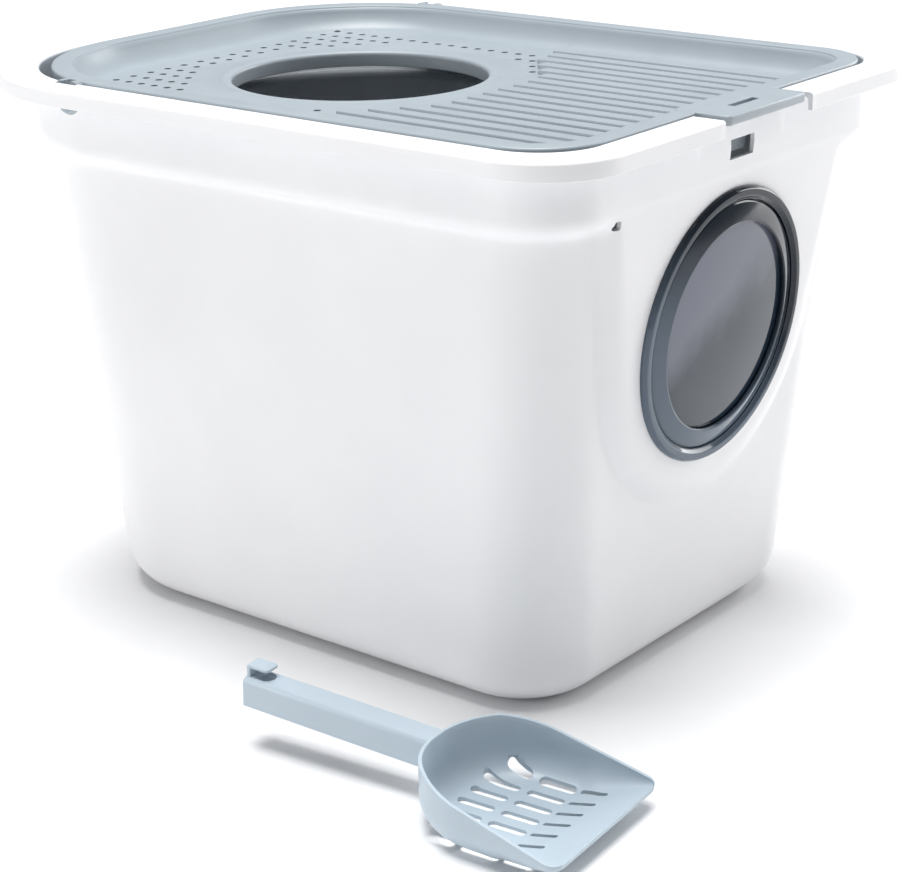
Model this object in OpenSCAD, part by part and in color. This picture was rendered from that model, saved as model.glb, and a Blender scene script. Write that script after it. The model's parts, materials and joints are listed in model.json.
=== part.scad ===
/* [Tub] */
// Length of the rim, front to back
rim_l = 530; // [500:1:560]
// Width of the rim
rim_w = 420; // [400:1:440]
// Height of the top of the rim
rim_z = 371; // [360:1:380]
// Height of the rim's outer skirt
rim_skirt = 11; // [9:1:14]
// Width of the rim, from its outer edge to the lid's well
rim_band = 23.5; // [22:0.5:26]
// Wall thickness of the tub
wall = 3; // [2.5:0.1:3.5]
// Length of the base at the floor
base_l = 408; // [390:1:420]
// Width of the base at the floor
base_w = 312; // [300:1:325]

/* [Door] */
// Height of the centre of the door
door_z = 228.7; // [222:0.1:234]
// Outer radius of the door's bezel
bezel_r = 90.2; // [88:0.1:92]
// Forward lean of the front panel, in degrees
lean = 5.65; // [5:0.05:6.5]

/* [Lid] */
// Depth of the lid's recess below its bead
lid_depth = 16.7; // [14:0.1:20]
// Radius of the entry hole
entry_r = 88.2; // [80:0.1:92]
// Distance of the entry hole's centre behind the middle
entry_y = 60; // [50:0.1:62]
// Wall thickness of the lid
lid_t = 2.5; // [2:0.1:3]
// Distance of the lid's pivot behind the middle
pivot_y = 147.5; // [146:0.5:150]

/* [Scoop] */
// Height of the back of the scoop's basket
scoop_h = 40.5; // [36:0.5:50]
// Length of the scoop's basket
basket_l = 116; // [110:1:130]
// Length of the scoop's handle
handle_l = 137; // [120:1:150]

/* [Hidden] */
$fn = 96;

// Radii of the corners in plan
rim_front_r = 52;
rim_back_r = 120;
well_front_r = 40;
well_back_r = 105;

// The lid's well: the tub's inner face under the rim
well_l = rim_l - 2 * rim_band;
well_w = rim_w - 2 * rim_band;
collar_l = well_l + 2 * wall;
collar_w = well_w + 2 * wall;

// The front panel's plane passes through door_y at door_z
door_y = -234;
panel_r = 108;
panel_top = 128;
panel_spread = 22;

// Lid in the well: a small gap in front and at the sides, a wider one behind for the pivot
lid_gap = 0.8;
lid_back_gap = 3;
lid_w = well_w - 2 * lid_gap;
lid_l = well_l - lid_gap - lid_back_gap;
lid_shift = (lid_gap - lid_back_gap) / 2;
lid_top = rim_z + 1.5;
lid_skirt_z = 350;
bead_w = 17.5;
entry_lip = 10.5;
tab_t = 6.5;
tab_half = 45;
notch_half = 50.5;
notch_z = rim_z - 10;

// Round pivots on the lid's sides, which turn in the tub's sockets
pivot_z = 363;
socket_r = 12.5;
pivot_play = 0.08;
pivot_bore = 10.2;
pivot_start = 180.5;

// Latch window, and the tongue behind it
window_w = 27;
window_x = 1.5;
window_z = 343.8;
window_h = 12.6;
tongue_t = 2.5;
tongue_w = 26.4;
tongue_low = 340.5;
tongue_chamfer = 5;
tongue_y = -well_l / 2 + 1.3;
tongue_top = rim_z - 5.4;
latch_gap_w = 29;

// Door parts, measured in the front panel's own frame: z is 0 on its outer face
tube_r = 85.2;
tube_in_r = 83.6;
hole_r = tube_r + 0.2;
lip_r = 81.6;
flap_r = 80.8;
flap_edge_r = 82.4;
pane_r = 70;
pane_open_r = 67.8;
retainer_r = 93;
axle_v = 88;
axle_n = -12;
axle_r = 1.5;
axle_l = 62;
screw_head_r = 2.9;
ear_x = 28;
hinge_x = 23.3;
hinge_t = 3.6;
screw_circle_r = 88;
screw_r = 1.5;

// Where the scoop lies on the floor, and which way it points
scoop_pos = [-260.4, -207.8, 0];
scoop_turn = 5;
scoop_t = 2.2;
tip_z = 12;
tip_wall = 3.2;
ramp_start = 70;
side_knee = 19;
basket_back_w = 113;
basket_front_w = 119;
basket_back_r = 54.7;
handle_w = 19;
handle_drop = 19;
handle_z = 21;
handle_rise = 6.5;
slot_pitch = 14.1;
slot_w = 6.4;
slot_l = 25;
slot_rows = [-40, -70];
hook_w = 12;
hook_l = 16;

// Points of a rectangle with round corners: small radius rf in front (-y), rb behind (+y)
corner_steps = 8;
function arc_pts(c, r, a0) =
    [for (k = [0:corner_steps]) c + r * [cos(a0 + 90 * k / corner_steps), sin(a0 + 90 * k / corner_steps)]];
function outline(w, l, rf, rb) = concat(
    arc_pts([w / 2 - rb, l / 2 - rb], rb, 0),
    arc_pts([rb - w / 2, l / 2 - rb], rb, 90),
    arc_pts([rf - w / 2, rf - l / 2], rf, 180),
    arc_pts([w / 2 - rf, rf - l / 2], rf, 270));

// A solid through level outlines, each [width, length, front radius, back radius, z, shift in y]
module loft(rings) {
    n = 4 * (corner_steps + 1);
    m = len(rings);
    pts = [for (s = rings) for (p = outline(s[0], s[1], s[2], s[3])) [p[0], p[1] + s[5], s[4]]];
    sides = [for (i = [0:m - 2]) for (j = [0:n - 1])
        let (a = i * n + j, b = i * n + (j + 1) % n)
        each [[a, a + n, b], [b, a + n, b + n]]];
    first = [[for (j = [0:n - 1]) j]];
    last = [[for (j = [n - 1:-1:0]) (m - 1) * n + j]];
    polyhedron(points = pts, faces = concat(first, sides, last));
}

// Outline of the tub's outer face at height z below the collar, with e taken off all round
shoulder_z = 320;
shoulder_l = 466;
shoulder_w = 361;
function part_way(a, b, t) = a + (b - a) * t;
function body_ring(z, e, z_at) = let (t = z / shoulder_z)
    [part_way(base_w, shoulder_w, t) - 2 * e, part_way(base_l, shoulder_l, t) - 2 * e,
     max(part_way(58, 46, t) - e, 6), max(part_way(80, 102, t) - e, 6), z_at, -4 * (1 - t)];
function collar_ring(z, e) = [collar_w - 2 * e, collar_l - 2 * e, well_front_r + wall - e,
                              well_back_r + wall - e, z, 0];
function rim_ring(z, e) = [rim_w - 2 * e, rim_l - 2 * e, rim_front_r - e, rim_back_r - e, z, 0];

base_r = 27;
base_steps = [0, 30, 60, 90];
function base_rings(e, r) =
    [for (a = base_steps) body_ring(r * (1 - cos(a)), e + r * (1 - sin(a)), e + r * (1 - cos(a)))];

module tub_loft() {
    outer = concat(base_rings(0, base_r), [body_ring(160, 0, 160), body_ring(312, 0, 312)],
        [collar_ring(322, 7), collar_ring(330, 2), collar_ring(338, 0.4), collar_ring(rim_z - wall, 0)]);
    rim = [rim_ring(rim_z - wall, wall), rim_ring(rim_z - rim_skirt, wall), rim_ring(rim_z - rim_skirt, 0),
           rim_ring(rim_z - 1.5, 0), rim_ring(rim_z, 1.5), collar_ring(rim_z, wall)];
    inner = concat([collar_ring(340, wall), collar_ring(331, wall + 2), collar_ring(322, wall + 7)],
        [body_ring(310, wall, 310), body_ring(160, wall, 160)],
        [for (k = [3:-1:0]) base_rings(wall, base_r - wall)[k]]);
    loft(concat(outer, rim, inner));
}

// Places its children in the front panel's frame: x across, y up the panel, z outwards
module on_panel() {
    translate([0, door_y, door_z]) rotate([90 + lean, 0, 0]) children();
}

// The raised panel round the door: round below, widening towards the collar
module panel(grow, z0, z1) {
    spread = panel_r + panel_spread;
    round_part = [for (a = [190:10:350]) (panel_r + grow) * [cos(a), sin(a)]];
    translate([0, 0, z0]) linear_extrude(z1 - z0)
        polygon(concat([[-spread - grow, panel_top]], round_part, [[spread + grow, panel_top]]));
}

module pivot_sockets() {
    for (s = [-1, 1]) translate([s * well_w / 2, pivot_y, pivot_z])
        rotate([0, 90, 0]) cylinder(h = 2 * wall + 3, r = socket_r, center = true);
}

module tub_shell() {
    color("white") difference() {
        union() {
            tub_loft();
            intersection() {
                on_panel() panel(0, -11, 0);
                translate([-rim_w / 2, -rim_l / 2, 40]) cube([rim_w, 100, 296]);
            }
        }
        intersection() {
            on_panel() panel(-wall, -40, -wall);
            translate([-rim_w / 2, -rim_l / 2 + 20, 60]) cube([rim_w, 110, 272]);
        }
        on_panel() translate([0, 0, -60]) cylinder(h = 90, r = hole_r);
        on_panel() for (a = [45:90:315]) rotate([0, 0, a])
            translate([screw_circle_r, 0, -10]) cylinder(h = 12, r = screw_r + 0.1);
        translate([window_x - window_w / 2, -collar_l / 2 - 5, window_z - window_h / 2])
            cube([window_w, 12, window_h]);
        translate([-notch_half, -rim_l / 2 - 1, notch_z]) cube([2 * notch_half, 26, 20]);
        translate([-notch_half, -rim_l / 2 - 1, notch_z - 5]) cube([2 * notch_half, 21, 20]);
        pivot_sockets();
    }
}

// Fixed outer ring of the door, with the lip that the flap closes against
module door_bezel() {
    color("#20262e") on_panel() difference() {
        rotate_extrude() polygon([[lip_r, -0.7], [tube_in_r, -0.7], [tube_in_r, -2 * wall],
            [tube_r, -2 * wall], [tube_r, 0], [bezel_r, 0], [bezel_r, 1.4], [89.4, 2.8], [87.9, 3.8], [85.4, 4.2], [83, 3.6],
            [lip_r, 2]]);
        for (a = [45:90:315]) rotate([0, 0, a])
            translate([screw_circle_r, 0, -1]) cylinder(h = 3, r = screw_r);
    }
}

// Ring inside the tub that clamps the bezel and carries the flap's axle
module door_retainer() {
    color("#2b323a") on_panel() difference() {
        union() {
            difference() {
                translate([0, 0, -2 * wall]) cylinder(h = wall, r = retainer_r);
                translate([0, 0, -7]) cylinder(h = 8, r = tube_r);
            }
            for (s = [-1, 1]) translate([s * ear_x - 2, 82.5, -16]) cube([4, 10, 10]);
        }
        translate([-40, axle_v, axle_n]) rotate([0, 90, 0]) cylinder(h = 80, r = axle_r + 0.05);
        for (a = [45:90:315]) rotate([0, 0, a])
            translate([screw_circle_r, 0, -8]) cylinder(h = 6, r = screw_r);
    }
}

module bezel_screws() {
    color("silver") on_panel() for (a = [45:90:315]) rotate([0, 0, a]) translate([screw_circle_r, 0, 0]) {
        translate([0, 0, -2 * wall]) cylinder(h = 2 * wall + 2, r = screw_r);
        translate([0, 0, -2 * wall - 2]) cylinder(h = 2, r = screw_head_r);
    }
}

// Ring of the swinging flap, and the two ears that hang it on its axle
module flap_frame() {
    color("#20262e") on_panel() difference() {
        union() {
            rotate_extrude() polygon([[pane_open_r, 2.8], [pane_r + 0.2, 2.8], [pane_r + 0.2, -4],
                [flap_edge_r, -4], [flap_edge_r, -1], [flap_r, -1], [flap_r, 1.2], [pane_open_r + 1, 5.3],
                [pane_open_r, 4.8]]);
            for (s = [-1, 1]) translate([s * hinge_x - hinge_t / 2, 0, 0]) rotate([90, 0, 90]) linear_extrude(hinge_t)
                polygon([[71.5, -4], [71.5, -15.5], [91.5, -15.5], [91.5, -8.5], [76.5, -8.5], [76.5, -4]]);
        }
        translate([-40, axle_v, axle_n]) rotate([0, 90, 0]) cylinder(h = 80, r = axle_r);
    }
}

module flap_pane() {
    color("#6f7884", 0.7) on_panel() rotate_extrude()
        polygon([[0, 0.4], [pane_r, 0.2], [pane_r, 2.6], [58, 3.2], [30, 4], [0, 4.2]]);
}

module flap_axle() {
    color("silver") on_panel() translate([-axle_l / 2, axle_v, axle_n]) rotate([0, 90, 0])
        cylinder(h = axle_l, r = axle_r);
}

// One outline of the lid, e inside its outer edge
lid_front_r = 46;
lid_back_r = 118;
function lid_ring(e, z) = [lid_w - 2 * e, lid_l - 2 * e, max(lid_front_r - 0.8 * e, 8),
                           max(lid_back_r - 0.8 * e, 8), z, lid_shift];

// The lid's section: underside, skirt, bead and the recess's hollow wall, down to the flat floor
module lid_loft() {
    floor_z = lid_top - lid_depth;
    cove_w = 15;
    flat = 46;
    under = [[flat, floor_z - lid_t], [bead_w + cove_w, floor_z - lid_t + 0.8], [bead_w + 6, floor_z + 1.6],
             [bead_w + 1, floor_z + 8], [bead_w - 1.5, lid_top - lid_t - 1.2]];
    skirt = [[lid_t, lid_top - lid_t], [lid_t, lid_skirt_z], [0, lid_skirt_z]];
    bead = [[0, lid_top - 1.4], [1.4, lid_top], [bead_w - 1.5, lid_top], [bead_w, lid_top - 1]];
    cove = [[bead_w + 3, floor_z + 9], [bead_w + 8, floor_z + 3.7], [bead_w + cove_w, floor_z + 0.6],
            [flat, floor_z]];
    loft([for (s = concat(under, skirt, bead, cove)) lid_ring(s[0], s[1])]);
}

module lid_pivot(s) {
    translate([s * pivot_start, pivot_y, pivot_z]) rotate([0, s * 90, 0]) difference() {
        cylinder(h = well_w / 2 + wall - pivot_start - 0.2, r = socket_r - pivot_play);
        translate([0, 0, 2]) cylinder(h = 20, r = pivot_bore);
    }
}

module lid_tray() {
    color("#cbd6df") difference() {
        union() {
            lid_loft();
            translate([0, entry_y, lid_top - lid_depth - entry_lip])
                cylinder(h = entry_lip, r = entry_r + lid_t);
            intersection() {
                union() { for (s = [-1, 1]) lid_pivot(s); }
                translate([-well_w, 0, 300]) cube([2 * well_w, rim_l, lid_top - 300]);
            }
            translate([-tab_half, -rim_l / 2 + 1, lid_top - tab_t]) cube([2 * tab_half, 25, tab_t]);
        }
        translate([0, entry_y, 300]) cylinder(h = 100, r = entry_r);
        translate([-latch_gap_w / 2, -well_l / 2, tongue_low - 2])
            cube([latch_gap_w, 9, lid_top - tab_t - tongue_low + 2]);
    }
}

// Springy tongue under the lid's tab, which shows in the tub's latch window
module latch_tongue() {
    color("#9fb0bd") difference() {
        translate([-tongue_w / 2, tongue_y, tongue_low])
            cube([tongue_w, tongue_t, tongue_top - tongue_low]);
        for (s = [-1, 1]) translate([s * tongue_w / 2, 0, tongue_low]) rotate([90, 45, 0])
            cube([tongue_chamfer, tongue_chamfer, 2 * rim_l], center = true);
    }
}

// Plan of the scoop's basket, e inside its outer face and running extra past the front edge
function basket_plan(e, extra) =
    let (b = basket_back_w / 2 - e, f = basket_front_w / 2 - e, r = basket_back_r - e)
    concat(
        [for (k = [0:6]) [b - r, -r - e] + r * [cos(15 * k), sin(15 * k)]],
        [for (k = [0:6]) [r - b, -r - e] + r * [cos(90 + 15 * k), sin(90 + 15 * k)]],
        [[-f, -basket_l - extra], [f, -basket_l - extra]]);

// Side view of the basket under its sloping top edge: rounded back, floor and ramp, raised by up
module basket_side(up, top) {
    reach = basket_l + 5;
    back = [[-5, 12 + up], [7, 3 + up]];
    low = [[20, up], [ramp_start, up], [reach, tip_z + up + 1]];
    rotate([90, 0, -90]) translate([0, 0, -basket_front_w])
        linear_extrude(2 * basket_front_w) polygon(concat(low, top, back));
}

module scoop_basket() {
    reach = basket_l + 5;
    difference() {
        intersection() {
            linear_extrude(scoop_h) polygon(basket_plan(0, 0));
            basket_side(0, [[reach, tip_z + tip_wall], [side_knee, scoop_h], [-5, scoop_h]]);
        }
        intersection() {
            translate([0, 0, -1]) linear_extrude(scoop_h + 10) polygon(basket_plan(scoop_t, 3));
            basket_side(scoop_t, [[reach, 2 * scoop_h], [-5, 2 * scoop_h]]);
        }
        for (k = [-2:2], y = slot_rows) translate([slot_pitch * k - slot_w / 2, y, -1])
            cube([slot_w, slot_l, 5]);
    }
}

// Channel-shaped handle, open below, with its hanging hook at the end
module scoop_handle() {
    plate = 2;
    neck = 5.5;
    start = 5;
    translate([0, -1.6, handle_z]) rotate([atan(handle_rise / handle_l), 0, 0]) difference() {
        union() {
            translate([-handle_w / 2, 0, 0]) cube([handle_w, handle_l, handle_drop]);
            translate([-hook_w / 2, handle_l - plate, handle_drop - 1])
                cube([hook_w, plate, neck + plate + 1]);
            translate([-hook_w / 2, handle_l - hook_l, handle_drop + neck]) cube([hook_w, hook_l, plate]);
        }
        translate([-handle_w / 2 + scoop_t, start, -1])
            cube([handle_w - 2 * scoop_t, handle_l - start - scoop_t, handle_drop - scoop_t + 1]);
        translate([0, handle_l - 11, handle_drop / 2]) cylinder(h = handle_drop / 2 + 2, r = 6);
    }
}

module scoop() {
    color("#cfdce6") translate(scoop_pos) rotate([0, 0, scoop_turn]) {
        scoop_basket();
        scoop_handle();
    }
}

tub_shell();
door_bezel();
door_retainer();
bezel_screws();
flap_frame();
flap_pane();
flap_axle();
lid_tray();
latch_tongue();
scoop();
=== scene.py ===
import json
import math

import bmesh
import bpy
from mathutils import Matrix, Vector


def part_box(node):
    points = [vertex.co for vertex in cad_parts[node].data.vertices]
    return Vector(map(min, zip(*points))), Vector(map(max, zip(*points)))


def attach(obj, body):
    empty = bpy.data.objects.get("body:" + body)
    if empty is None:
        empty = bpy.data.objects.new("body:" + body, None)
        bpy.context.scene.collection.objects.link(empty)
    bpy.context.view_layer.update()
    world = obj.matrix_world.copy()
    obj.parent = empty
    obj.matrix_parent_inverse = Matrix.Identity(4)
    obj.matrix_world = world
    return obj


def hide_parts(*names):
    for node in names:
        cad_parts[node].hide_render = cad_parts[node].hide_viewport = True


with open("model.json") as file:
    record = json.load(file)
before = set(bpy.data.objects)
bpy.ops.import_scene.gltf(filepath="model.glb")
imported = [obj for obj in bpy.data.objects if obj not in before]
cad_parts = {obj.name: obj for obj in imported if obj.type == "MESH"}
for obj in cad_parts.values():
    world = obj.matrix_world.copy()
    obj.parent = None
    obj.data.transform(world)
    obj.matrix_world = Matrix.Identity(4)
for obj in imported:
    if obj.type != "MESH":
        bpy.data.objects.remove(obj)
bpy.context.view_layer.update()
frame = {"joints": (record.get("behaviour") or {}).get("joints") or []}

MM = 0.001

# ---------------------------------------------------------------- sizes, in mm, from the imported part
tub_lo, tub_hi = (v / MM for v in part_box("tub_shell"))
RIM_W = tub_hi.x - tub_lo.x
RIM_L = tub_hi.y - tub_lo.y
RIM_Z = tub_hi.z
RIM_BAND = 23.5
RIM_SKIRT = 11
WALL = 3
WELL_W = RIM_W - 2 * RIM_BAND
WELL_L = RIM_L - 2 * RIM_BAND
LID_TOP = (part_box("lid_tray")[1] / MM).z
LID_W = WELL_W - 1.6
LID_L = WELL_L - 3.8
LID_SHIFT = -1.1
LID_FLOOR = LID_TOP - 16.7
ENTRY_R = 88.2
ENTRY_Y = 60
ENTRY_LIP = 10.5

JOINTS = {j["name"]: j for j in frame["joints"]}
PIVOT_Y = JOINTS["lid_pivot"]["pos_m"][1] / MM
PIVOT_Z = JOINTS["lid_pivot"]["pos_m"][2] / MM

# The front panel's own frame: x across, y up the panel, z outwards
LEAN = math.radians(5.65)
DOOR_Y = -234.0
DOOR_Z = 228.7
PANEL = Matrix.Translation((0, DOOR_Y, DOOR_Z)) @ Matrix.Rotation(math.pi / 2 + LEAN, 4, "X")


# ---------------------------------------------------------------- mesh helpers
def make(name, verts, faces, matrix=None):
    """A closed mesh object from points in mm."""
    mesh = bpy.data.meshes.new(name)
    mesh.from_pydata([tuple(v) for v in verts], [], faces)
    if matrix is not None:
        mesh.transform(matrix)
    mesh.transform(Matrix.Scale(MM, 4))
    bm = bmesh.new()
    bm.from_mesh(mesh)
    bmesh.ops.remove_doubles(bm, verts=bm.verts, dist=1e-6)
    bmesh.ops.recalc_face_normals(bm, faces=bm.faces)
    bm.to_mesh(mesh)
    bm.free()
    obj = bpy.data.objects.new(name, mesh)
    bpy.context.scene.collection.objects.link(obj)
    return obj


def corner(cx, cy, r, start, steps):
    """Points of a quarter circle, counterclockwise from the angle start."""
    for k in range(steps + 1):
        a = math.radians(start + 90 * k / steps)
        yield cx + r * math.cos(a), cy + r * math.sin(a)


def plan(w, l, rf, rb, z, shift, steps, turn):
    """A level round-cornered rectangle, rf in front, rb behind; steps along back, left, front, right."""
    corners = [
        list(corner(w / 2 - rb, l / 2 - rb, rb, 0, turn)),
        list(corner(rb - w / 2, l / 2 - rb, rb, 90, turn)),
        list(corner(rf - w / 2, rf - l / 2, rf, 180, turn)),
        list(corner(w / 2 - rf, rf - l / 2, rf, 270, turn)),
    ]
    points = []
    for i, arc in enumerate(corners):
        points += arc
        a, b = arc[-1], corners[(i + 1) % 4][0]
        n = steps[i]
        points += [(a[0] + (b[0] - a[0]) * k / n, a[1] + (b[1] - a[1]) * k / n) for k in range(1, n)]
    return [(x, y + shift, z) for x, y in points]


def loft(name, rings, matrix=None):
    """A solid through outlines that have the same number of points, closed at both ends."""
    n = len(rings[0])
    verts = [p for ring in rings for p in ring]
    faces = [
        (i * n + j, i * n + (j + 1) % n, (i + 1) * n + (j + 1) % n, (i + 1) * n + j)
        for i in range(len(rings) - 1)
        for j in range(n)
    ]
    faces.append(tuple(range(n)))
    faces.append(tuple(range((len(rings) - 1) * n, len(rings) * n)))
    return make(name, verts, faces, matrix)


def block(name, w, l, r, layers, matrix=None, turn=8):
    """A block with round corners in plan; layers are (inset, z) from bottom to top."""
    rings = [
        plan(w - 2 * e, l - 2 * e, max(r - e, 0.2), max(r - e, 0.2), z, 0, (2, 2, 2, 2), turn)
        for e, z in layers
    ]
    return loft(name, rings, matrix)


def soft_layers(z0, z1, r, steps=4):
    """Layers of a block whose lower and upper edges are rounded by r."""
    low = [(r * (1 - math.sin(a)), z0 + r * (1 - math.cos(a))) for a in quarter(steps)]
    high = [(r * (1 - math.cos(a)), z1 - r * (1 - math.sin(a))) for a in quarter(steps)]
    return low + high


def quarter(steps):
    """Angles from 0 to 90 degrees."""
    return [math.pi / 2 * k / steps for k in range(steps + 1)]


def fillet(corners, steps=5):
    """A closed outline from corners (x, y, radius), each rounded by its radius."""
    out = []
    count = len(corners)
    for i, (x, y, r) in enumerate(corners):
        p = Vector((x, y))
        before = Vector(corners[i - 1][:2]) - p
        after = Vector(corners[(i + 1) % count][:2]) - p
        if r <= 0:
            out.append((x, y))
            continue
        half = before.angle(after) / 2
        reach = min(r / math.tan(half), before.length * 0.49, after.length * 0.49)
        a = p + before.normalized() * reach
        b = p + after.normalized() * reach
        for k in range(steps + 1):
            t = k / steps
            q = a * (1 - t) ** 2 + p * (2 * t * (1 - t)) + b * t**2
            out.append((q.x, q.y))
    return out


def lathe(name, profile, matrix=None, steps=192):
    """A closed outline (radius, height) turned about the z axis."""
    count = len(profile)
    verts = []
    for k in range(steps):
        a = 2 * math.pi * k / steps
        verts += [(r * math.cos(a), r * math.sin(a), z) for r, z in profile]
    faces = []
    for k in range(steps):
        here, there = k * count, (k + 1) % steps * count
        for j in range(count):
            m = (j + 1) % count
            if profile[j][0] < 1e-6 and profile[m][0] < 1e-6:
                continue
            faces.append((here + j, here + m, there + m, there + j))
    return make(name, verts, faces, matrix)


def prism(name, outline, z0, z1, matrix=None):
    """A solid from a level outline between two heights."""
    return loft(name, [[(x, y, z0) for x, y in outline], [(x, y, z1) for x, y in outline]], matrix)


def circle(r, steps, x=0, y=0):
    """Outline of a circle about (x, y)."""
    return [(x + r * math.cos(a), y + r * math.sin(a)) for a in arc(0, 360, steps)[:-1]]


def oblong(left, right, half, r):
    """A round-cornered rectangle from left to right, half its height on either side of the x axis."""
    return fillet([(right, half, r), (left, half, r), (left, -half, r), (right, -half, r)])


def capsule(w, l, turn=8):
    """Outline of a slot w wide and l long, with round ends, along y."""
    r = w / 2
    top = [(r * math.cos(a), l / 2 - r + r * math.sin(a)) for a in arc(0, 180, 2 * turn)]
    low = [(r * math.cos(a), r - l / 2 + r * math.sin(a)) for a in arc(180, 360, 2 * turn)]
    return top + low


def arc(start, end, steps):
    """Angles in radians from start to end, given in degrees."""
    return [math.radians(start + (end - start) * k / steps) for k in range(steps + 1)]


def join(objects, name):
    """One object from several, their meshes kept as they are."""
    first = objects[0]
    bm = bmesh.new()
    for o in objects:
        bm.from_mesh(o.data)
    bm.to_mesh(first.data)
    bm.free()
    for o in objects[1:]:
        bpy.data.objects.remove(o)
    first.name = name
    first.data.name = name
    return first


def combine(obj, tools, operation):
    """Adds ("UNION") or cuts ("DIFFERENCE") the tools, which are then removed."""
    tool = join(tools, "tool") if len(tools) > 1 else tools[0]
    mod = obj.modifiers.new("combine", "BOOLEAN")
    mod.operation = operation
    mod.solver = "EXACT"
    mod.use_self = len(tools) > 1 and operation == "UNION"
    mod.object = tool
    apply_modifiers(obj)
    bpy.data.objects.remove(tool)
    return obj


def apply_modifiers(obj):
    """Replaces the mesh by its evaluated one."""
    graph = bpy.context.evaluated_depsgraph_get()
    graph.update()
    made = bpy.data.meshes.new_from_object(obj.evaluated_get(graph))
    obj.modifiers.clear()
    obj.data = made


def bevel_where(obj, width, test, angle=40, segments=3):
    """Rounds the sharp edges for which test(midpoint in mm) is true."""
    bm = bmesh.new()
    bm.from_mesh(obj.data)
    limit = math.radians(angle)
    edges = [
        e
        for e in bm.edges
        if len(e.link_faces) == 2
        and e.calc_face_angle(0) > limit
        and test((e.verts[0].co + e.verts[1].co) / 2 / MM)
    ]
    settings = {"segments": segments, "profile": 0.5, "affect": "EDGES", "clamp_overlap": True}
    bmesh.ops.bevel(bm, geom=edges, offset=width * MM, **settings)
    bm.to_mesh(obj.data)
    bm.free()


def finish_piece(obj, name, body, node, material, sharp=38):
    """Names, shades and paints a piece, ties it to its body and hides the CAD node that it replaces."""
    obj.name = name
    obj.data.name = name
    obj.data.materials.clear()
    obj.data.materials.append(material)
    for face in obj.data.polygons:
        face.material_index = 0
        face.use_smooth = True
    obj.data.set_sharp_from_angle(angle=math.radians(sharp))
    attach(obj, body)
    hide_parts(node)
    return obj


# ---------------------------------------------------------------- materials
def add_node(mat, kind, inputs=(), **settings):
    """A new shader node; each of its inputs gets a constant or a link from another node's socket."""
    made = mat.node_tree.nodes.new("ShaderNode" + kind)
    for name, value in settings.items():
        setattr(made, name, value)
    for socket, value in inputs:
        connect(mat, made.inputs[socket], value)
    return made


def connect(mat, target, value):
    """Links a socket to an input, or sets the input to a constant."""
    if isinstance(value, bpy.types.NodeSocket):
        mat.node_tree.links.new(value, target)
    else:
        target.default_value = value


def place_of(mat):
    """The point's place in the object's own frame."""
    return add_node(mat, "TexCoord").outputs["Object"]


def noise(mat, place, scale, detail):
    """Grey noise from 0 to 1 over a place."""
    inputs = [("Scale", scale), ("Detail", detail), ("Vector", place)]
    return add_node(mat, "TexNoise", inputs).outputs["Fac"]


def ramp(mat, source, start, end, low=0, high=1, **settings):
    """Maps a value from the span start to end onto the span low to high."""
    spans = [("From Min", start), ("From Max", end), ("To Min", low), ("To Max", high)]
    return add_node(mat, "MapRange", spans + [("Value", source)], **settings).outputs["Result"]


def mix(mat, factor, a, b):
    """Mixes two colours, each a constant or a socket."""
    made = add_node(mat, "Mix", [("Factor", factor)], data_type="RGBA")
    sockets = {t.name: t for t in made.inputs if t.type == "RGBA"}
    for name, value in (("A", a), ("B", b)):
        connect(mat, sockets[name], (*value, 1) if isinstance(value, tuple) else value)
    return [t for t in made.outputs if t.type == "RGBA"][0]


def new_material(name):
    """A node material and its main shader."""
    mat = bpy.data.materials.new(name)
    mat.use_nodes = True
    return mat, mat.node_tree.nodes["Principled BSDF"]


# Scales of the noise: wide mottling, change of roughness, fine grain of the surface, the border of a
# painted reflection
CLOUD_SCALE, ROUGH_SCALE, GRAIN_SCALE, PAINTED_REFLECTION_SCALE = 9, 60, 1400, 14
GRAIN_DEPTH = 0.0002
WORN_AND_HIGHLIT_EDGE = (0.53, 0.62)
WORN_AND_HIGHLIT_AMOUNT = 0.35


def moulded(name, low, high, rough, grain, **sockets):
    """Moulded plastic: mottled colour, fine grain in the roughness and bump, paler sharp edges that are
    partly wear and partly painted highlight.
    """
    mat, shader = new_material(name)
    place = place_of(mat)
    cloud = mix(mat, ramp(mat, noise(mat, place, CLOUD_SCALE, 4), 0.3, 0.7), low, high)
    # Sharp outer edges are painted paler: partly wear, partly painted highlight.
    sharpness = add_node(mat, "NewGeometry").outputs["Pointiness"]
    edge = ramp(mat, sharpness, *WORN_AND_HIGHLIT_EDGE, 0, WORN_AND_HIGHLIT_AMOUNT)
    worn_and_highlit = tuple(min(1, c * 1.12 + 0.012) for c in high)
    connect(mat, shader.inputs["Base Color"], mix(mat, edge, cloud, worn_and_highlit))
    connect(mat, shader.inputs["Roughness"], ramp(mat, noise(mat, place, ROUGH_SCALE, 6), 0.3, 0.7, *rough))
    height = noise(mat, place, GRAIN_SCALE, 3)
    bump = add_node(mat, "Bump", [("Strength", grain), ("Distance", GRAIN_DEPTH), ("Height", height)])
    connect(mat, shader.inputs["Normal"], bump.outputs["Normal"])
    for socket, value in sockets.items():
        shader.inputs[socket.replace("_", " ")].default_value = value
    return mat


def paint_reflection(mat, colour, direction, edge):
    """Paints a reflection: one side of a piece paler, its border soft and uneven."""
    place = place_of(mat)
    along = add_node(mat, "VectorMath", [(0, place), (1, direction)], operation="DOT_PRODUCT")
    cloud = noise(mat, place, PAINTED_REFLECTION_SCALE, 3)
    terms = [(0, cloud), (1, 0.06), (2, along.outputs["Value"])]
    uneven = add_node(mat, "Math", terms, operation="MULTIPLY_ADD")
    tint(mat, ramp(mat, uneven.outputs["Value"], *edge, interpolation_type="SMOOTHSTEP"), colour)


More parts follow.
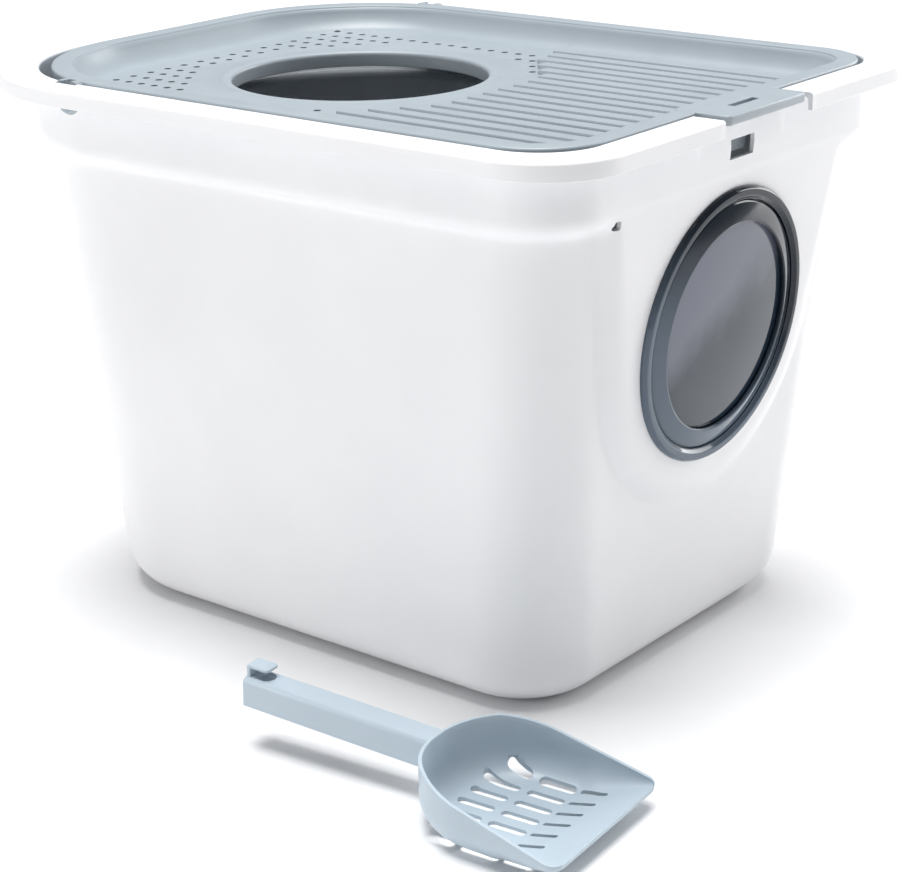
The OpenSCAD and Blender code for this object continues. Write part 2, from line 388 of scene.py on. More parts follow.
def shade_inside(mat, colour):
    """Darkens the faces that look in towards the tub's middle, which the light hardly reaches."""
    level = add_node(mat, "VectorMath", [(0, place_of(mat)), (1, (1, 1, 0))], operation="MULTIPLY")
    normal = add_node(mat, "NewGeometry").outputs["Normal"]
    terms = [(0, level.outputs["Vector"]), (1, normal)]
    facing = add_node(mat, "VectorMath", terms, operation="DOT_PRODUCT")
    tint(mat, ramp(mat, facing.outputs["Value"], -0.03, -0.09), colour)


def tint(mat, factor, colour):
    """Mixes a colour over what a material already has, by a factor."""
    base = mat.node_tree.nodes["Principled BSDF"].inputs["Base Color"]
    connect(mat, base, mix(mat, factor, base.links[0].from_socket, colour))


def brushed_steel():
    """Drawn wire steel with fine lines along the wire."""
    mat, shader = new_material("steel")
    shader.inputs["Metallic"].default_value = 1
    stretch = add_node(mat, "Mapping", [("Scale", (30, 900, 900)), ("Vector", place_of(mat))])
    lines = noise(mat, stretch.outputs["Vector"], 3, 2)
    connect(mat, shader.inputs["Roughness"], ramp(mat, lines, 0, 1, 0.2, 0.45))
    tone = add_node(mat, "ValToRGB", [("Fac", lines)])
    tone.color_ramp.elements[0].color = (0.42, 0.42, 0.44, 1)
    tone.color_ramp.elements[1].color = (0.68, 0.68, 0.7, 1)
    connect(mat, shader.inputs["Base Color"], tone.outputs["Color"])
    return mat


SATIN = (0.34, 0.46)
WHITE = moulded("white_plastic", (0.80, 0.80, 0.815), (0.84, 0.84, 0.85), SATIN, 0.12)
shade_inside(WHITE, (0.52, 0.56, 0.60))
GREY = moulded("lid_plastic", (0.32, 0.366, 0.402), (0.345, 0.392, 0.428), SATIN, 0.14)
# The latch tongue is the lid's grey plastic painted darker: painted shade for its place deep behind the
# window.
SHADED_LATCH_PLASTIC = moulded("latch_plastic_painted_shade", (0.12, 0.15, 0.17), (0.14, 0.17, 0.19), SATIN, 0.14)
SCOOP = moulded("scoop_plastic", (0.415, 0.495, 0.56), (0.44, 0.52, 0.585), (0.3, 0.44), 0.12)
GLOSS = moulded("gloss_plastic", (0.009, 0.014, 0.023), (0.013, 0.02, 0.03), (0.05, 0.11), 0.02, IOR=1.36)
# Painted reflection: the lower left of the door's dark rings is paler, where they would reflect the pale
# floor.
paint_reflection(GLOSS, (0.10, 0.13, 0.17), Vector((-0.7, 0, -1)), (-0.25, -0.14))
CLEAR = {"Transmission_Weight": 0.1, "IOR": 1.47}
SMOKE = moulded("smoky_pane", (0.012, 0.022, 0.038), (0.02, 0.033, 0.053), (0.05, 0.12), 0.02, **CLEAR)
# Painted reflection: the upper left of the smoky pane is paler, with a soft curved border.
paint_reflection(SMOKE, (0.145, 0.158, 0.205), Vector((-0.5, 0, 1)), (0.25, 0.29))
STEEL = brushed_steel()


# ---------------------------------------------------------------- tub
BASE_W, BASE_L = 312, 408
BASE_RF, BASE_RB = 58, 80
BASE_SHIFT = -4
BASE_R = 27
SHOULDER_W, SHOULDER_L, SHOULDER_Z = 361, 466, 320
SHOULDER_RF, SHOULDER_RB = 46, 102
STEP_Z, STEP_MIDDLE, STEP_TOP = 314, 321, 332
COLLAR_RINGS = (334, 337, 345)
FINE_Z = 96
COLLAR_W, COLLAR_L = WELL_W + 2 * WALL, WELL_L + 2 * WALL
WELL_RF, WELL_RB = 40, 105
RIM_RF, RIM_RB = 52, 120
TUB_STEPS = (16, 18, 120, 18)
TUB_TURN = 24
HOLE_R = 85.4
WINDOW_X, WINDOW_Z, WINDOW_W, WINDOW_H = 1.5, 343.8, 27, 12.6
SOCKET_R = 12.5
NOTCH_W = 101
VENT_U, VENT_V = -129, 92.5

# The raised panel round the door, as circle height, radius and slope of its sides: its top and its foot
PLATEAU = (-3, 98, math.radians(13))
FOOT = (7, 126, math.radians(8.3))
PANEL_SWELL = 2.2


def between(a, b, t):
    """The value a share t of the way from a to b."""
    return a + (b - a) * t


def body_size(z, e):
    """Width, length, corner radii and shift of the tapered body at a height, e inside its outer face."""
    t = z / SHOULDER_Z
    return (
        between(BASE_W, SHOULDER_W, t) - 2 * e,
        between(BASE_L, SHOULDER_L, t) - 2 * e,
        max(between(BASE_RF, SHOULDER_RF, t) - e, 6),
        max(between(BASE_RB, SHOULDER_RB, t) - e, 6),
        BASE_SHIFT * (1 - t),
    )


def collar_size(e):
    """The same for the collar under the rim."""
    return COLLAR_W - 2 * e, COLLAR_L - 2 * e, WELL_RF + WALL - e, WELL_RB + WALL - e, 0


def tub_ring(size, z):
    """The tub's outline of a given size at a height."""
    w, l, rf, rb, shift = size
    return plan(w, l, rf, rb, z, shift, TUB_STEPS, TUB_TURN)


def rim_ring(e, z):
    """The rim's outline at a height, e inside its outer face."""
    return tub_ring((RIM_W - 2 * e, RIM_L - 2 * e, RIM_RF - e, RIM_RB - e, 0), z)


def outside(u, v, shape):
    """Distance of a panel point from the outline of the raised panel, positive outside."""
    centre, radius, slope = shape
    u, v = abs(u), v - centre
    if v > -u * math.tan(slope):
        return u * math.cos(slope) - v * math.sin(slope) - radius
    return math.hypot(u, v) - radius


def raise_panel(ring, depth):
    """Moves the front of a ring out to the panel's plane, depth behind its face."""
    out = []
    for x, y, z in ring:
        if y < 0:
            v = (z - DOOR_Z) / math.cos(LEAN)
            plane = DOOR_Y - (z - DOOR_Z) * math.tan(LEAN) + depth / math.cos(LEAN)
            top, foot = outside(x, v, PLATEAU), -outside(x, v, FOOT)
            if foot > 0 and plane < y:
                t = 1.0 if top <= 0 else foot / (foot + top)
                y += (plane - y) * (1 - (1 - t) ** PANEL_SWELL)
        out.append((x, y, z))
    return out


def shoulder(e, steps=8):
    """Rings of the step from the body out to the collar: hollow below, rounded above."""
    rings = []
    low, high = body_size(STEP_Z, e), collar_size(e)
    hollow, crown = STEP_MIDDLE - STEP_Z, STEP_TOP - STEP_MIDDLE
    for a in quarter(steps):
        t = 0.5 * (1 - math.cos(a))
        rings.append(([between(p, q, t) for p, q in zip(low, high)], STEP_Z + hollow * math.sin(a)))
    for a in quarter(steps)[1:]:
        t = 0.5 + 0.5 * math.sin(a)
        z = STEP_MIDDLE + crown * (1 - math.cos(a))
        rings.append(([between(p, q, t) for p, q in zip(low, high)], z))
    return rings


def tub_wall(e):
    """Sizes and heights of one face of the tub, from the floor up to the collar."""
    r = BASE_R - e
    rings = []
    for a in quarter(10):
        z = r * (1 - math.cos(a))
        rings.append((body_size(z, e + r * (1 - math.sin(a))), e + z))
    z = BASE_R + 11
    while z < STEP_Z - 2:
        rings.append((body_size(z, e), z))
        z += 3.0 if z > FINE_Z else 14.5
    return rings + shoulder(e)


def tub_profile():
    """Rings of the tub's skin: up the outside, over the rim and down the inside to the floor."""
    outer = [raise_panel(tub_ring(size, z), 0) for size, z in tub_wall(0)]
    outer += [raise_panel(tub_ring(collar_size(0), z), 0) for z in COLLAR_RINGS]
    outer += [tub_ring(collar_size(0), 366), tub_ring(collar_size(-0.6), 367.4)]
    outer += [tub_ring(collar_size(-2), RIM_Z - WALL)]
    rim = [rim_ring(WALL + 1.5, RIM_Z - WALL), rim_ring(WALL, RIM_Z - WALL - 1.5)]
    rim += [rim_ring(WALL, RIM_Z - RIM_SKIRT), rim_ring(0.3, RIM_Z - RIM_SKIRT)]
    rim += [rim_ring(0, RIM_Z - RIM_SKIRT + 0.3)]
    edge = 2.0
    rim += [rim_ring(edge * (1 - math.cos(a)), RIM_Z - edge * (1 - math.sin(a))) for a in quarter(6)]
    lip = 1.2
    for a in quarter(4):
        inset, drop = WALL - lip * (1 - math.sin(a)), lip * (1 - math.cos(a))
        rim.append(tub_ring(collar_size(inset), RIM_Z - drop))
    inner = [raise_panel(tub_ring(collar_size(WALL), z), WALL) for z in reversed(COLLAR_RINGS)]
    inner += [raise_panel(tub_ring(size, z), WALL) for size, z in reversed(tub_wall(WALL))]
    return outer + rim + inner


def tub_openings():
    """Tools for the vent seen beside the panel, the door's hole, the latch window and the pivot sockets."""
    spot = PANEL @ Matrix.Translation((VENT_U, VENT_V, 0))
    vent = prism("vent", oblong(-3.2, 3.2, 3, 2.2), -30, 12, spot)
    hole = prism("hole", circle(HOLE_R, 160), -60, 30, PANEL)
    front = Matrix.Translation((WINDOW_X, -COLLAR_L / 2, WINDOW_Z)) @ Matrix.Rotation(math.pi / 2, 4, "X")
    window = prism("window", oblong(-WINDOW_W / 2, WINDOW_W / 2, WINDOW_H / 2, 0.6), -9, 9, front)
    across = Matrix.Rotation(math.pi / 2, 4, "Y")
    sockets = []
    for s in (-1, 1):
        spot = Matrix.Translation((s * WELL_W / 2, PIVOT_Y, PIVOT_Z)) @ across
        sockets.append(prism("socket", circle(SOCKET_R, 64), -4.5, 4.5, spot))
    return [vent, hole, window] + sockets


def make_tub():
    """The tub's body with its openings and the notch in its rim."""
    tub = loft("tub", tub_profile())
    combine(tub, tub_openings(), "DIFFERENCE")
    # The notch for the lid's tab: through the collar's wall, then wider and shallower through the rim
    for depth, middle, bottom in ((21, -255.5, 356), (26, -253, 361)):
        layers = [(0, bottom), (0, bottom + 20)]
        notch = block("notch", NOTCH_W, depth, 1.5, layers, Matrix.Translation((0, middle, 0)))
        combine(tub, [notch], "DIFFERENCE")
    bevel_where(tub, 0.8, lambda p: 49 < abs(p.x) < 52 and p.y < -238 and p.z > 352)
    return finish_piece(tub, "tub_body", "tub", "tub_shell", WHITE)


# ---------------------------------------------------------------- lid
LID_STEPS = (16, 24, 90, 24)
LID_TURN = 24
LID_RF, LID_RB = 46, 118
LID_SKIRT_Z = 350
FLOOR_T = 2.5
FLOOR_INSET = 46
BEAD_W = 13.5
COVE_W = 12.5
RIB_PITCH = 16.5
RIB_COUNT = 18
RIB_W = 11
RIB_H = 3.4
RIB_BACK = -54
RIB_SIDE_BACK = -10
RIB_FRONT = -222
ROW_PITCH = 12.27
FIRST_ROW = 188.6
ROW_COUNT = 19
PERFORATION_R = 2.6
TAB_W, TAB_L, TAB_Y, TAB_UNDER = 90, 40, -244, 366.2
HUB_X, HUB_R, HUB_BORE_R = 180.5, 12.42, 10.2


def lid_ring(e, z):
    """The lid's outline at a height, e inside its outer face."""
    rf, rb = max(LID_RF - 0.8 * e, 8), max(LID_RB - 0.8 * e, 8)
    return plan(LID_W - 2 * e, LID_L - 2 * e, rf, rb, z, LID_SHIFT, LID_STEPS, LID_TURN)


def cove(steps=12):
    """Insets and heights of the recess wall, a soft hollow from the bead down to the floor."""
    top, low = (BEAD_W + 1.0, LID_TOP - 2.2), (BEAD_W + 1.0 + COVE_W, LID_FLOOR)
    rings = []
    for k in range(steps + 1):
        t = k / steps
        e = between(top[0], low[0], t**1.2)
        z = between(top[1], low[1], 1 - (1 - t) ** 1.7)
        rings.append((e, z))
    return rings


def lid_profile():
    """Insets and heights of the lid's skin: underside, skirt, bead and recess."""
    under = [(e - 1.8, z - FLOOR_T) for e, z in reversed(cove(8))]
    skirt = [(FLOOR_T, LID_TOP - FLOOR_T), (FLOOR_T, LID_SKIRT_Z + 0.4), (FLOOR_T - 0.4, LID_SKIRT_Z)]
    skirt += [(0.4, LID_SKIRT_Z), (0, LID_SKIRT_Z + 0.4)]
    bead = [(1.6 * (1 - math.cos(a)), LID_TOP - 1.6 * (1 - math.sin(a))) for a in quarter(5)]
    lip = [(BEAD_W - 1.4 * (1 - math.sin(a)), LID_TOP - 1.4 * (1 - math.cos(a))) for a in quarter(4)]
    skin = under + skirt + bead + lip + cove()
    return [(FLOOR_INSET, LID_FLOOR - FLOOR_T)] + skin + [(FLOOR_INSET, LID_FLOOR)]


def entry_collar():
    """The rolled edge of the round entry."""
    inside, outside_r, foot = ENTRY_R, ENTRY_R + 2.5, LID_FLOOR - ENTRY_LIP
    section = [
        (ENTRY_R + 8, LID_FLOOR - 1.4, 0),
        (ENTRY_R + 7, LID_FLOOR + 0.25, 1.5),
        (inside, LID_FLOOR + 0.45, 5),
        (inside, foot, 0.8),
        (outside_r, foot, 0.8),
        (outside_r, LID_FLOOR - 4.5, 2),
        (ENTRY_R + 5.5, LID_FLOOR - 1.4, 0),
    ]
    return lathe("collar", fillet(section, 8), Matrix.Translation((0, ENTRY_Y, 0)))


def make_lid():
    """The lid with its entry, ribs, holes, tab and pivots."""
    lid = loft("lid", [lid_ring(e, z) for e, z in lid_profile()])
    collar = entry_collar()
    combine(lid, [prism("entry", circle(ENTRY_R + 4, 192, 0, ENTRY_Y), 300, 400)], "DIFFERENCE")
    combine(lid, [collar], "UNION")
    combine(lid, ribs(), "UNION")
    combine(lid, perforations(), "DIFFERENCE")
    for part in (lid_tab(), lid_hub(-1), lid_hub(1)):
        combine(lid, [part], "UNION")
    slot = prism("slot", oblong(-13, 16, 2.6, 0.5), 368, 380, Matrix.Translation((-4.7, -247.9, 0)))
    spot = Matrix.Translation((0, -WELL_L / 2 + 4.5, 0))
    latch_gap = block("gap", 29, 9, 0.5, [(0, 340), (0, LID_TOP - 2.8)], spot)
    for tool in (latch_gap, slot):
        combine(lid, [tool], "DIFFERENCE")
    return finish_piece(lid, "lid_cover", "lid", "lid_tray", GREY)


def rib_start(x):
    """Where a rib begins: level in the middle, then stepping back at the sides, clear of the holes."""
    m = abs(x) / RIB_PITCH - 0.5
    return max(RIB_BACK, min(RIB_BACK + 12.4 * (m - 2.7), RIB_SIDE_BACK + 7 * max(m - 7, 0)))


def rib(x):
    """One raised bar with a crowned top and rounded end, from its start to the recess's front wall."""
    width = RIB_W
    side = [(-1, 0), (-0.97, 0.62), (-0.9, 0.84), (-0.74, 0.94), (-0.4, 0.99), (0, 1)]
    section = side + [(-u, v) for u, v in reversed(side[:-1])]
    stations = [(rib_start(x) - width / 2 * (1 - math.cos(a)), max(math.sin(a), 0.06)) for a in quarter(8)]
    rings = []
    for y, t in stations + [(RIB_FRONT, 1.0)]:
        rise = RIB_H * min(1, t**0.6)
        ring = [(x + u * t * width / 2, y, LID_FLOOR + v * rise) for u, v in section]
        ring += [(x + t * width / 2, y, LID_FLOOR - 1), (x - t * width / 2, y, LID_FLOOR - 1)]
        rings.append(ring)
    return loft("rib", rings)


def ribs():
    """All the bars, evenly spaced across the recess."""
    return [rib((k - (RIB_COUNT - 1) / 2) * RIB_PITCH) for k in range(RIB_COUNT)]


def perforation_spots():
    """Centres of the round holes: two rows behind, a triangle at each rear corner, a row at each side."""
    spots = []
    for column in range(-8, 8):
        x = (column + 0.5) * RIB_PITCH
        m = max(column, -1 - column)
        for row in range(ROW_COUNT):
            corner_rows = row <= 1 or (row <= 5 and m > row)
            side_row = m == 7 and row <= 15
            steps = (m, row) == (6, 15) or (x > 0 and (m, row) in ((6, 16), (5, 17), (4, 18)))
            if corner_rows or side_row or steps:
                spots.append((x, FIRST_ROW - ROW_PITCH * row))
    return spots


def perforations():
    """Tools for the round holes."""
    holes = []
    for x, y in perforation_spots():
        holes.append(prism("hole", circle(PERFORATION_R, 24, x, y), 340, 360))
    return holes


def lid_tab():
    """Flat tab that lies in the notch of the tub's rim."""
    layers = [(0.9, TAB_UNDER), (0.25, TAB_UNDER + 0.4), (0, TAB_UNDER + 1)]
    layers += [(1.4 * (1 - math.cos(a)), LID_TOP - 1.4 * (1 - math.sin(a))) for a in quarter(4)]
    return block("tab", TAB_W, TAB_L, 4, layers, Matrix.Translation((0, TAB_Y, 0)), 6)


def lid_hub(s):
    """Hollow round pivot on the lid's side, level with its top."""
    turn = Matrix.Translation((s * HUB_X, PIVOT_Y, PIVOT_Z)) @ Matrix.Rotation(s * math.pi / 2, 4, "Y")
    length = WELL_W / 2 + WALL - HUB_X - 0.2
    section = [(0, 0, 0), (HUB_R, 0, 0), (HUB_R, length, 0.5)]
    section += [(HUB_BORE_R, length, 0.4), (HUB_BORE_R, 2.4, 0.6), (0, 2.4, 0)]
    hub = lathe("hub", fillet(section, 4), turn, 64)
    over = Matrix.Translation((s * 185, PIVOT_Y, 0))
    trim = block("trim", 60, 60, 1, [(0, LID_TOP), (0, LID_TOP + 20)], over)
    return combine(hub, [trim], "DIFFERENCE")


TONGUE_W, TONGUE_T = 26.4, 2.5
TONGUE_LOW, TONGUE_HIGH = 340.5, 365.6


def make_latch():
    """Springy tongue behind the latch window."""
    back = -WELL_L / 2 + 1.3 + TONGUE_T
    middle = (TONGUE_LOW + TONGUE_HIGH) / 2
    upright = Matrix.Translation((0, back, middle)) @ Matrix.Rotation(math.pi / 2, 4, "X")
    height = TONGUE_HIGH - TONGUE_LOW
    tongue = block("tongue", TONGUE_W, height, 3.2, soft_layers(0, TONGUE_T, 0.6), upright)
    # Its material is the lid's plastic painted darker, as painted shade.
    return finish_piece(tongue, "latch_blade", "latch", "latch_tongue", SHADED_LATCH_PLASTIC)


# ---------------------------------------------------------------- door
BEZEL_LIP_R, TUBE_IN_R, TUBE_R, BEZEL_R = 81.6, 83.6, 85.2, 90.2
FLAP_R, FLAP_EDGE_R = 80.8, 82.4
PANE_OPEN_R, PANE_R, PANE_SEAT_R = 67.8, 70, 70.2
PANE_T, PANE_DOME = 1.8, 3.9
EAR_U, EAR_T = 23.3, 3.6
AXLE_V, AXLE_Z, AXLE_R, AXLE_L = 88, -12, 1.5, 62
CLAMP_R, CLAMP_EDGE_R = 92, 93
SCREW_CIRCLE_R = 88
SCREW_R, SCREW_HEAD_R = 1.5, 2.9


def along_axle(u):
    """Place of a part that lies along the flap's axle and starts at u across the panel."""
    turn = Matrix.Rotation(math.pi / 2, 4, "Y")
    return PANEL @ Matrix.Translation((u, AXLE_V, AXLE_Z)) @ turn


def make_bezel():
    """Fixed ring of the door, with the tube that goes through the tub's hole."""
    section = [
        (BEZEL_LIP_R, -0.7, 0.2),
        (TUBE_IN_R, -0.7, 0),
        (TUBE_IN_R, -6, 0.3),
        (TUBE_R, -6, 0.3),
        (TUBE_R, 0, 0),
        (BEZEL_R, 0, 0),
        (BEZEL_R, 1.7, 1.0),
        (BEZEL_R - 1.8, 4.2, 1.6),
        (BEZEL_R - 6, 4.2, 1.6),
        (BEZEL_LIP_R + 0.6, 2.2, 0.5),
        (BEZEL_LIP_R, 2.0, 0.3),
    ]
    bezel = lathe("bezel", fillet(section, 6), PANEL, 256)
    finish_piece(bezel, "bezel_ring", "tub", "door_bezel", GLOSS, 50)


def flap_ear(s):
    """Hinge ear that reaches back from the flap's ring and up to the axle."""
    outline = [(71.5, -4, 0), (71.5, -15.5, 2), (91.5, -15.5, 3.2)]
    outline += [(91.5, -8.5, 3.2), (76.5, -8.5, 1.5), (76.5, -4, 0)]
    upright = Matrix.Rotation(math.pi / 2, 4, "Z") @ Matrix.Rotation(math.pi / 2, 4, "X")
    spot = PANEL @ Matrix.Translation((s * EAR_U - EAR_T / 2, 0, 0)) @ upright
    return prism("ear", fillet(outline), 0, EAR_T, spot)


def make_flap():
    """Ring of the swinging flap with its two ears."""
    section = [
        (PANE_OPEN_R, 2.8, 0),
        (PANE_SEAT_R, 2.8, 0),
        (PANE_SEAT_R, -4, 0.3),
        (FLAP_EDGE_R, -4, 0.5),
        (FLAP_EDGE_R, -1, 0.3),
        (FLAP_R, -1, 0),
        (FLAP_R, 1.2, 0.8),
        (FLAP_R - 1.2, 2.0, 0.8),
        (PANE_OPEN_R + 1.2, 5.2, 0.7),
        (PANE_OPEN_R, 4.7, 0.4),
    ]
    ring = lathe("flap", fillet(section, 5), PANEL, 256)
    for s in (-1, 1):
        combine(ring, [flap_ear(s)], "UNION")
    combine(ring, [prism("bore", circle(AXLE_R, 32), 0, 80, along_axle(-40))], "DIFFERENCE")
    finish_piece(ring, "flap_ring", "flap", "flap_frame", GLOSS, 50)


def make_pane(steps=24):
    """Slightly domed smoky pane behind the flap's opening."""
    front = []
    for k in range(steps + 1):
        t = 1 - k / steps
        r, z = PANE_R * t, 0.3 + PANE_DOME * (1 - t**2)
        front.append((r, max(z, 1.6) if r > 67 else z + 1.3 * r / PANE_R))
    back = [(r, z - PANE_T) for r, z in reversed(front)]
    front = [(r, min(z, 2.6) if r > 67 else z) for r, z in front]
    pane = lathe("pane", front + back, PANEL, 192)
    finish_piece(pane, "flap_window", "flap", "flap_pane", SMOKE, 60)


def make_axle():
    """Steel pin with bevelled ends."""
    section = [(0, 0), (AXLE_R - 0.4, 0), (AXLE_R, 0.4)]
    section += [(AXLE_R, AXLE_L - 0.4), (AXLE_R - 0.4, AXLE_L), (0, AXLE_L)]
    pin = lathe("pin", section, along_axle(-AXLE_L / 2), 32)
    finish_piece(pin, "flap_pin", "flap", "flap_axle", STEEL)


def make_retainer():
    """Clamp ring inside the tub, with the axle's ears."""
    section = [(TUBE_R, -3, 0), (TUBE_R, -6, 0.3), (TUBE_R + 1.3, -6.6, 0.3)]
    section += [(CLAMP_R, -6.6, 0.3), (CLAMP_EDGE_R, -6, 0.3), (CLAMP_EDGE_R, -3, 0)]
    ring = lathe("retainer", fillet(section, 3), PANEL, 192)
    for s in (-1, 1):
        spot = PANEL @ Matrix.Translation((s * 28, AXLE_V - 0.5, 0))
        ear = block("ear", 4, 10, 1, soft_layers(-16, -5, 0.6), spot, 4)
        combine(ring, [ear], "UNION")
    combine(ring, [prism("bore", circle(AXLE_R + 0.05, 32), 0, 80, along_axle(-40))], "DIFFERENCE")
    finish_piece(ring, "retainer_ring", "tub", "door_retainer", GLOSS)


def make_screws():
    """Four pan-head screws with cross recesses, through the retainer into the bezel."""
    section = [(0, 2, 0), (SCREW_R - 0.3, 2, 0.2), (SCREW_R, 1.4, 0), (SCREW_R, -6, 0)]
    section += [(SCREW_HEAD_R, -6, 0.1), (SCREW_HEAD_R, -7.2, 0.6), (2, -8, 0.6), (0, -8, 0)]
    profile = fillet(section, 3)
    screws = []
    for k in range(4):
        around = Matrix.Rotation(math.radians(45 + 90 * k), 4, "Z")
        spot = PANEL @ around @ Matrix.Translation((SCREW_CIRCLE_R, 0, 0))
        screw = lathe("screw", profile, spot, 32)
        for w, l in ((0.7, 3.2), (3.2, 0.7)):
            combine(screw, [block("cross", w, l, 0.2, [(0, -9), (0, -7.1)], spot, 2)], "DIFFERENCE")
        screws.append(screw)
    finish_piece(join(screws, "screws"), "door_screws", "tub", "bezel_screws", STEEL)


# ---------------------------------------------------------------- scoop
SCOOP_AT = Matrix.Translation((-260.4, -207.8, 0)) @ Matrix.Rotation(math.radians(5), 4, "Z")
SCOOP_T = 2.2
SCOOP_L = 116
SCOOP_H = 40.5
SCOOP_TIP, SCOOP_TIP_WALL = 12, 3.2
SCOOP_RAMP = 70
SCOOP_KNEE = 19
SCOOP_BACK_R = 54.7
SCOOP_HALF_BACK, SCOOP_HALF_FRONT = 56.2, 59.1
SCOOP_NOSE_R = 8
SCOOP_FLOOR_R = 20.0
HANDLE_L = 137
HANDLE_W, HANDLE_DROP, HANDLE_T = 19, 19, 2.2
HANDLE_Z, HANDLE_RISE = 21, 6.5
HOOK_W, HOOK_L = 12, 16
SLOT_PITCH = 14.1
SLOT_W, SLOT_L = 6.4, 25
# The three rows of slots: middle of a slot, its width and length, and the height of the cut's foot
SLOT_ROWS = ((-27.5, SLOT_W, SLOT_L, -4), (-57.5, SLOT_W, SLOT_L, -4), (-82, 3.4, 18, 0.5))


def scoop_top(y):
    """Height of the basket's wall at a distance y from its back."""
    t = min(max((y - SCOOP_KNEE) / (SCOOP_L - SCOOP_KNEE), 0), 1)
    return between(SCOOP_H, SCOOP_TIP + SCOOP_TIP_WALL, t)


def scoop_floor(y):
    """Height of the basket's underside: flat, then a ramp with a soft start."""
    t = max(y - SCOOP_RAMP, 0) / (SCOOP_L - SCOOP_RAMP)
    return SCOOP_TIP * (t * t * 0.25 + t * 0.75)


def scoop_outline(e):
    """The basket's U-shaped plan, e inside the outer face."""
    r, b, f = SCOOP_BACK_R - e, SCOOP_HALF_BACK - e, SCOOP_HALF_FRONT - e
    nose = SCOOP_NOSE_R - e
    pts = [(f - nose + nose * math.sin(a), nose * (1 - math.cos(a)) - SCOOP_L) for a in quarter(6)]
    steps = 26
    for k in range(1, steps):
        t = k / steps
        pts.append((between(f, b, t), between(nose - SCOOP_L, -r - e, t)))
    pts += [(b - r + r * math.cos(a), -r - e + r * math.sin(a)) for a in arc(0, 90, 24)]
    left = [(-x, y) for x, y in reversed(pts)]
    return pts + left


def scoop_skin(e):
    """Grid of one face of the basket: from the wall's top, down and round to the middle line."""
    grid = []
    for x, y in scoop_outline(e):
        spine = min(y, -SCOOP_BACK_R - 0.3)
        d = Vector((x, y - spine))
        out = d.normalized()
        reach = d.length
        top = scoop_top(-y)
        low = scoop_floor(-y) + e
        f = max(0.3, min(SCOOP_FLOOR_R - e, 0.85 * (top - low)))
        column = [(x, y, top)]
        for k in range(1, 5):
            column.append((x, y, between(top, low + f, k / 5)))
        for a in quarter(8):
            s = reach - f * (1 - math.cos(a))
            column.append((out.x * s, spine + out.y * s, low + f * (1 - math.sin(a))))
        for k in range(1, 7):
            s = (reach - f) * (1 - k / 6)
            px, py = out.x * s, spine + out.y * s
            column.append((px, py, scoop_floor(-py) + e))
        grid.append(column)
    return grid


def make_basket():
    """The basket without its slots, as an outer and an inner skin joined along their borders."""
    outer, inner = scoop_skin(0), scoop_skin(SCOOP_T)
    rows, cols = len(outer), len(outer[0])
    verts = [p for column in outer + inner for p in column]
    base = rows * cols
    faces = []
    for i in range(rows - 1):
        for j in range(cols - 1):
            a, b = i * cols + j, (i + 1) * cols + j
            faces.append((a, b, b + 1, a + 1))
            faces.append((base + a, base + a + 1, base + b + 1, base + b))
        faces.append((i * cols, base + i * cols, base + (i + 1) * cols, (i + 1) * cols))
    for j in range(cols - 1):
        faces.append((j, j + 1, base + j + 1, base + j))
        a = (rows - 1) * cols + j
        faces.append((a, base + a, base + a + 1, a + 1))
    return make("basket", verts, faces)


def make_handle():
    """Channel handle, open below, with a hole and a hook at its end."""
    rise = Matrix.Rotation(math.atan(HANDLE_RISE / HANDLE_L), 4, "X")
    tilt = Matrix.Translation((0, -1.6, HANDLE_Z)) @ rise
    side = tilt @ Matrix.Rotation(-math.pi / 2, 4, "X") @ Matrix.Scale(-1, 4, (0, 1, 0))
    half = HANDLE_W / 2
    section = [(-half, 0, 0.4), (-half, HANDLE_DROP, 4.2), (half, HANDLE_DROP, 4.2), (half, 0, 0.4)]
    handle = prism("handle", fillet(section, 8), 0, HANDLE_L, side)
    bevel_where(handle, 1.2, lambda p: p.y > 120, 60, 3)
    half, drop = HANDLE_W / 2 - HANDLE_T, HANDLE_DROP - HANDLE_T
    hollow = [(-half, -2, 0), (-half, drop, 2.4), (half, drop, 2.4), (half, -2, 0)]
    channel = prism("channel", fillet(hollow, 6), 5, HANDLE_L - HANDLE_T, side)
    combine(handle, [channel], "DIFFERENCE")
    spot = tilt @ Matrix.Translation((0, HANDLE_L - HOOK_L / 2, 0))
    hook = block("hook", HOOK_W, HOOK_L, 2.5, soft_layers(24.5, 26.5, 0.6), spot, 5)
    spot = tilt @ Matrix.Translation((0, HANDLE_L - 1.5, 0))
    post = block("post", HOOK_W, 2.6, 0.6, [(0, 16), (0, 26)], spot, 3)
    hole = prism("hole", circle(HOOK_W / 2, 40), 9, 22, tilt @ Matrix.Translation((0, HANDLE_L - 11, 0)))
    combine(handle, [hole], "DIFFERENCE")
    combine(hook, [post], "UNION")
    return combine(handle, [hook], "UNION")


def scoop_slots():
    """Tools for the slots in the basket's floor; the outer ones at the back are shorter."""
    slots = []
    for k in range(-3, 4):
        for row, (y, w, l, z) in enumerate(SLOT_ROWS):
            short = 4 if abs(k) == 3 and row == 0 else 0
            spot = Matrix.Translation((SLOT_PITCH * k + 0.05, y - short, 0))
            slots.append(prism("slot", capsule(w, l - 2 * short), z, z + 18, spot))
    return slots


def make_scoop():
    """The scoop, lying beside the tub."""
    basket = make_basket()
    bevel_where(basket, 0.7, lambda p: p.z > 17, 55, 2)
    combine(basket, [make_handle()], "UNION")
    combine(basket, scoop_slots(), "DIFFERENCE")
    basket.data.transform(Matrix.Scale(MM, 4) @ SCOOP_AT @ Matrix.Scale(1 / MM, 4))
    return finish_piece(basket, "scoop_shell", "scoop", "scoop", SCOOP, 40)


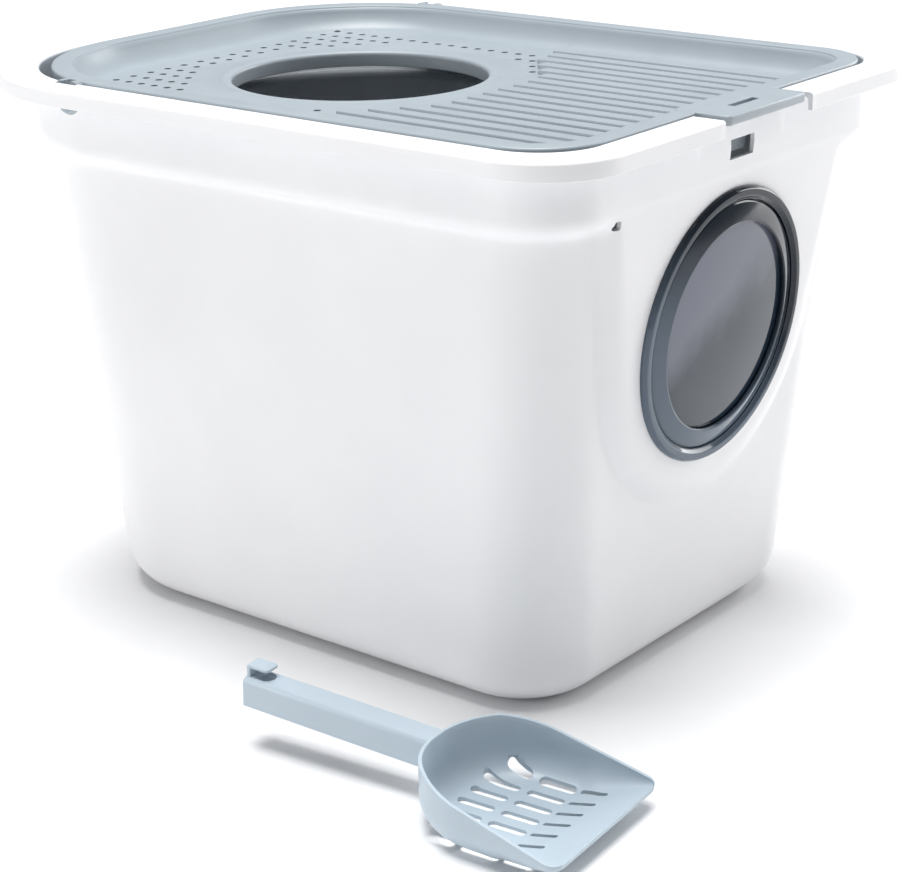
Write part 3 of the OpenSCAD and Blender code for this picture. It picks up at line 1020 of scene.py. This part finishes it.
# ---------------------------------------------------------------- stage, light and camera
def add_light(name, place, target, size, power):
    """A round soft light, aimed at a target; places and sizes in metres, power in watts."""
    data = bpy.data.lights.new(name, "AREA")
    data.shape = "DISK"
    data.size = size
    data.energy = power
    obj = bpy.data.objects.new(name, data)
    obj.location = place
    aim = Vector(target) - Vector(place)
    obj.rotation_mode = "QUATERNION"
    obj.rotation_quaternion = aim.to_track_quat("-Z", "Y")
    bpy.context.scene.collection.objects.link(obj)


FLOOR_HALF = 9000
SKY_STRENGTH = 0.27


def make_stage():
    """Pale floor, even sky and three soft lights."""
    h = FLOOR_HALF
    floor = make("floor", [(-h, -h, 0), (h, -h, 0), (h, h, 0), (-h, h, 0)], [(0, 1, 2, 3)])
    paper = moulded("floor_paper", (0.86, 0.86, 0.865), (0.9, 0.9, 0.905), (0.7, 0.85), 0.05)
    floor.data.materials.append(paper)
    world = bpy.data.worlds.new("studio")
    world.use_nodes = True
    sky = world.node_tree.nodes["Background"]
    sky.inputs["Color"].default_value = (0.97, 0.985, 1, 1)
    sky.inputs["Strength"].default_value = SKY_STRENGTH
    bpy.context.scene.world = world
    add_light("left", (-4.2, 3.8, 0.9), (0, 0, 0.15), 2.4, 92)
    add_light("right", (3.9, -1.2, 1.2), (0, 0, 0.2), 2.6, 105)
    add_light("top", (0.0, 0.3, 6.4), (0, 0, 0.2), 4.4, 560)
    bpy.context.scene.view_settings.view_transform = "Standard"


# The camera's place in metres, the directions right and up in its picture, and its lens in mm
CAMERA_AT = (-1.17617, -0.95639, 0.64902)
CAMERA_RIGHT = (0.61962, -0.78475, -0.01541)
CAMERA_UP = (0.27447, 0.19824, 0.94094)
CAMERA_LENS = 90.21
CAMERA_SHIFT = (-0.001, 0.0002)


def make_camera():
    """The camera that sees the object as the photo does."""
    data = bpy.data.cameras.new("camera")
    data.sensor_width = 36
    data.sensor_fit = "HORIZONTAL"
    data.lens = CAMERA_LENS
    data.shift_x, data.shift_y = CAMERA_SHIFT
    data.clip_start = 0.05
    data.clip_end = 60
    obj = bpy.data.objects.new("camera", data)
    right, up = Vector(CAMERA_RIGHT), Vector(CAMERA_UP)
    turn = Matrix((right, up, right.cross(up))).transposed()
    obj.matrix_world = Matrix.Translation(CAMERA_AT) @ turn.to_4x4()
    bpy.context.scene.collection.objects.link(obj)
    bpy.context.scene.camera = obj


make_tub()
make_lid()
make_latch()
make_bezel()
make_flap()
make_pane()
make_axle()
make_retainer()
make_screws()
make_scoop()
make_stage()
make_camera()
